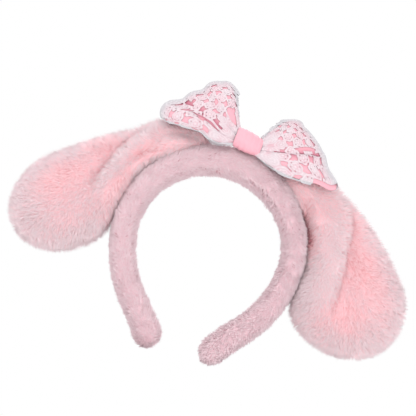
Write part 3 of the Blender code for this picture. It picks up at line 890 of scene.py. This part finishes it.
def loop_outside(run, across, side, offset):
    """Places at a distance outside the satin, square to it."""
    step = 0.012
    here = loop_surface(run, across, side)
    along = loop_surface(run + step, across, side) - loop_surface(run - step, across, side)
    over = loop_surface(run, across + step, side) - loop_surface(run, across - step, side)
    return here + side * unit(np.cross(along, over)) * offset[..., None]


def cloth_wall(piece, thickness, offset=0):
    """Gives a sheet its thickness, half on each side of it for an offset of 0."""
    wall = piece.modifiers.new("wall", "SOLIDIFY")
    wall.thickness = thickness
    wall.offset = offset


def build_satin_loop(label, side):
    """One wing's satin: out along the front, round its outer edge and back behind."""
    rows, columns = 90, 110
    run = np.linspace(0, 2, rows)[:, None] * np.ones((1, columns))
    across = np.linspace(-1.04, 1, columns)[None] * np.ones((rows, 1))
    grid = loop_surface(run, across, side)
    uvs = np.stack([run / 2, (across + 1.04) / 2.04], -1).reshape(-1, 2)
    name = f"bow_{label}_satin"
    data = build_mesh(name, grid.reshape(-1, 3), grid_quads(rows, columns, False), uvs=uvs)
    piece = add_piece(name, data, SATIN, "headband", (f"bow_{label}_satin_loop",))
    cloth_wall(piece, 0.45 * MM)


LACE_PITCH, FLOWER = 6.8 * MM, 4.75 * MM  # half the space between flowers in a row, and radius
SLITS = ((0.5, 1.7, 0.0), (4.2, 1.4, 2.0))  # millimetres above the fold, half width, and waver


def lace_field(u, v, side):
    """Distance outside the lace's cloth, negative on it, and how much cord there is.

    Flowers touch in a diagonal lattice, with a diamond opening between each four. Slits show
    the satin along the fold.
    """
    edge = np.full(u.shape, 1.0)
    cord = np.zeros(u.shape)
    half = RIBBON_HALF + 1 * MM
    for i in range(-1, int(2 * LOOP_RUN / LACE_PITCH) + 2):
        for j in range(-3, 4):
            centre_u, centre_v = i * LACE_PITCH, (2 * j + i % 2) * LACE_PITCH
            if abs(centre_v) > half:
                continue
            away_u, away_v = u - centre_u, v - centre_v
            far = np.hypot(away_u, away_v)
            petals = np.cos(6 * np.arctan2(away_v, away_u) + i + 2 * j)
            rim = FLOWER * (1 + 0.10 * petals) * (1 + 0.05 * math.sin(i * 2.3 + j * 4.1))
            edge = np.minimum(edge, far - rim)
            for radius in (FLOWER - 0.6 * MM, 2.3 * MM + 0.4 * MM * petals, 0.4 * MM):
                cord = np.maximum(cord, np.exp(-(((far - radius) / (0.38 * MM)) ** 2)))
            eyelets = 0.55 * MM * petals - np.abs(far - 2.9 * MM) - 0.1 * MM
            edge = np.maximum(edge, np.where(far < 3.6 * MM, eyelets, -1))
    dense = 1 - smooth_step(7 * MM, 15 * MM, u)  # where it is gathered
    dense = np.maximum(dense, 1 - smooth_step(2.5 * MM, 6.5 * MM, np.abs(u - LOOP_RUN)))
    edge = edge - 3.0 * MM * dense * (np.abs(v) < half)
    edge = np.minimum(edge, np.abs(np.abs(v) - RIBBON_HALF - 2.4 * MM) - 0.9 * MM)  # edging cord
    fold = (2 * FOLD_SHARE - 1 + 0.08 * side) * RIBBON_HALF
    front = u < 0.85 * LOOP_RUN
    for rise, wide, turn in SLITS:
        width = wide * MM * (0.35 + 0.65 * np.sin(u / (7 * MM) + turn + side))
        slit = np.where(front & (u > 9 * MM), width - np.abs(v - fold - rise * MM), -1)
        edge = np.maximum(edge, slit)
    if side > 0:  # a strip of satin shows below the lace at the low corner
        corner = (u > 30 * MM) & (u < 62 * MM)
        edge = np.where(corner, np.maximum(edge, 2.6 * MM - RIBBON_HALF - v), edge)
    else:  # by the knot the lace has slipped off the satin
        bare = 1 - np.hypot((u - 10 * MM) / (7 * MM), (v - 15 * MM) / (5 * MM))
        edge = np.maximum(edge, bare * 4 * MM)
    return edge, cord


def build_lace_loop(label, side):
    """The lace outside a wing's satin, as a sheet with real openings."""
    cell = 0.5 * MM
    length, half = 2 * LOOP_RUN, RIBBON_HALF + 4.6 * MM
    rows, columns = int(length / cell), int(2 * half / cell)
    u = np.linspace(0, length, rows)[:, None] * np.ones((1, columns))
    v = np.linspace(-half, half, columns)[None] * np.ones((rows, 1))
    field, cord = lace_field(u, v, side)
    du = lace_field(u + 0.05 * MM, v, side)[0] - field
    dv = lace_field(u, v + 0.05 * MM, side)[0] - field
    steep = np.maximum(np.hypot(du, dv), 1e-9)
    near = (np.abs(field) < 0.5 * cell) & (steep > 0.01 * MM)
    shift = np.clip(field / steep, -8, 8)
    u = np.clip(np.where(near, u - shift * du / steep * 0.05 * MM, u), 0, length)
    v = np.where(near, v - shift * dv / steep * 0.05 * MM, v)
    inside = (field < 0.5 * cell).reshape(-1)
    quads = grid_quads(rows, columns, False)
    kept = quads[inside[quads].all(axis=1)]
    edge = quads[inside[quads].sum(axis=1) == 3]
    tris = np.array([[k for k in quad if inside[k]] for quad in edge]).reshape(-1, 3)
    at_end = np.exp(-(((u / LOOP_RUN - 1) / 0.10) ** 2))
    off = 0.6 * MM + 0.3 * MM * cord + 1.3 * MM * at_end
    grid = loop_outside(u / LOOP_RUN, v / RIBBON_HALF, side, off)
    used, inverse = np.unique(np.concatenate([kept.ravel(), tris.ravel()]), return_inverse=True)
    # The v of the map is 1 where satin lies behind. Past the satin's edge and at the loop's end the
    # lace takes its greyer tones, painted shade.
    backed = 1 - smooth_step(RIBBON_HALF - 0.5 * MM, RIBBON_HALF + 1.5 * MM, np.abs(v))
    backed = backed * (1 - np.exp(-(((u / LOOP_RUN - 1) / 0.13) ** 2)))
    uvs = np.stack([0.03 + 0.94 * cord, 0.03 + 0.94 * backed], -1).reshape(-1, 2)[used]
    name = f"bow_{label}_lace"
    faces = inverse[: kept.size].reshape(-1, 4), inverse[kept.size :].reshape(-1, 3)
    data = build_mesh(name, grid.reshape(-1, 3)[used], *faces, uvs)
    piece = add_piece(name, data, LACE, "headband", (f"bow_{label}_lace_loop",))
    cloth_wall(piece, 0.4 * MM)


def build_knot():
    """The satin wrap, pulled tight in soft pleats round the waist."""
    rows, columns = 48, 72
    t = np.linspace(-1, 1, rows)[:, None]
    angle = 2 * math.pi * np.arange(columns)[None] / columns
    fullness = 1 - 0.14 * t**2 + 0.020 * np.cos(t * 15) + 0.012 * np.cos(t * 27 + 2 * angle)
    high = 7.5 * MM * fullness * (1 - 0.08 * t)
    deep = 5.4 * MM * fullness * (1 - 0.1 * t**2)
    cosine, sine = np.cos(angle), np.sin(angle)
    z = high * np.sign(cosine) * np.abs(cosine) ** 0.75
    y = deep * np.sign(sine) * np.abs(sine) ** 0.75
    x = 10.6 * MM * t - 0.06 * z + 1.0 * MM
    z = z - 0.02 * x - 1.2 * MM
    grid = bow_world(np.stack([x, y * np.ones_like(x), z * np.ones_like(x)], -1))
    clear = SATIN_FOLD_SHADE + 1.44 * SATIN_FOLD_SHADE_HALF  # its map starts past the stripe of painted fold shade
    uvs = np.stack(np.broadcast_arrays((t + 1) / 2, clear + angle / 14), -1).reshape(-1, 2)
    name = "bow_knot_wrap"
    data = build_mesh(name, grid.reshape(-1, 3), grid_quads(rows, columns, True), uvs=uvs)
    piece = add_piece(name, data, SATIN, "headband", ("bow_wrap",))
    cloth_wall(piece, 0.5 * MM, -1)


build_band()
for ear_label, ear_spec in EARS.items():
    build_ear(ear_label, ear_spec)
for loop_label, loop_side in (("left", -1), ("right", 1)):
    build_satin_loop(loop_label, loop_side)
    build_lace_loop(loop_label, loop_side)
build_knot()


# ---------------------------------------------------------------- studio and camera
FLOOR_HALF = 3.0
FLOOR_GAP = 1.0 * MM
WORLD_STRENGTH = 1.18  # as a light. The camera sees plain white
# Name, place, size and watts. The low one is under the floor and lights the undersides.
LIGHTS = (
    ("key", (-0.45, -0.95, 0.60), 1.0, 2.8),
    ("front", (0.05, -1.15, -0.20), 0.9, 4.6),
    ("low", (0.15, -0.85, -0.75), 1.0, 3.4),
    ("top", (0.1, 0.3, 1.1), 0.8, 3.0),
    ("back", (0.3, 1.1, 0.35), 1.0, 5.0),
)
LIGHT_TARGET = Vector((0, 0, -0.03))


def build_floor():
    """A pale floor under the tips. Seen from below it is clear, and light passes up through it."""
    floor = bpy.data.objects.new("floor", bpy.data.meshes.new("floor"))
    size, level = FLOOR_HALF, cad_bounds[0][2] - FLOOR_GAP
    corners = [(x * size, y * size, level) for x, y in ((-1, -1), (1, -1), (1, 1), (-1, 1))]
    floor.data.from_pydata(corners, [], [(0, 1, 2, 3)])
    bpy.context.scene.collection.objects.link(floor)
    material, tree, shader = new_material("studio_floor")
    shader.inputs["Base Color"].default_value = (0.86, 0.86, 0.86, 1)
    shader.inputs["Roughness"].default_value = 0.8
    backface = node(tree, "ShaderNodeNewGeometry").outputs["Backfacing"]
    to_light = node(tree, "ShaderNodeLightPath").outputs["Is Shadow Ray"]
    clear = node(tree, "ShaderNodeBsdfTransparent")
    mixed = node(tree, "ShaderNodeMixShader", {0: math_node(tree, "MAXIMUM", backface, to_light)})
    tree.links.new(shader.outputs[0], mixed.inputs[1])
    tree.links.new(clear.outputs[0], mixed.inputs[2])
    tree.links.new(mixed.outputs[0], tree.nodes["Material Output"].inputs["Surface"])
    floor.data.materials.append(material)


def build_lights():
    """White surroundings and five large soft lights, turned towards the middle of the object."""
    world = bpy.data.worlds.new("studio")
    bpy.context.scene.world = world
    world.use_nodes = True
    tree = world.node_tree
    background = tree.nodes["Background"]
    seen = node(tree, "ShaderNodeLightPath").outputs["Is Camera Ray"]
    strength = node(tree, "ShaderNodeMix", {0: seen, 2: WORLD_STRENGTH, 3: 1.0}, data_type="FLOAT")
    tree.links.new(strength.outputs[0], background.inputs["Strength"])
    background.inputs["Color"].default_value = (1, 1, 1, 1)
    for name, place, size, power in LIGHTS:
        light = bpy.data.lights.new(name, "AREA")
        light.energy = power
        light.size = size
        lamp = bpy.data.objects.new(name, light)
        lamp.location = place
        lamp.rotation_mode = "QUATERNION"
        lamp.rotation_quaternion = (LIGHT_TARGET - lamp.location).to_track_quat("-Z", "Y")
        bpy.context.scene.collection.objects.link(lamp)


CAMERA_ELEVATION = math.radians(-12)
CAMERA_AZIMUTH = math.radians(-2)
CAMERA_ROLL = math.radians(17.3)  # the object leans clockwise in the frame
CAMERA_DISTANCE = 0.95
FRAME_WIDTH = 0.317  # metres across the frame at the object
CAMERA_TARGET = Vector((-0.0085, 0.0, -0.0275))


def build_camera():
    """A long lens from a little under the middle, rolled so that the object leans as it should."""
    camera = bpy.data.cameras.new("camera")
    camera.sensor_width = 36
    camera.lens = 36 * CAMERA_DISTANCE / FRAME_WIDTH
    made = bpy.data.objects.new("camera", camera)
    a, e = CAMERA_AZIMUTH, CAMERA_ELEVATION
    back = Vector((math.sin(a) * math.cos(e), -math.cos(a) * math.cos(e), math.sin(e)))
    made.location = CAMERA_TARGET + back * CAMERA_DISTANCE
    made.rotation_mode = "QUATERNION"
    level = (-back).to_track_quat("-Z", "Y")
    made.rotation_quaternion = level @ Matrix.Rotation(CAMERA_ROLL, 3, "Z").to_quaternion()
    bpy.context.scene.collection.objects.link(made)
    bpy.context.scene.camera = made
    bpy.context.scene.view_settings.view_transform = "Standard"


build_floor()
build_lights()
build_camera()
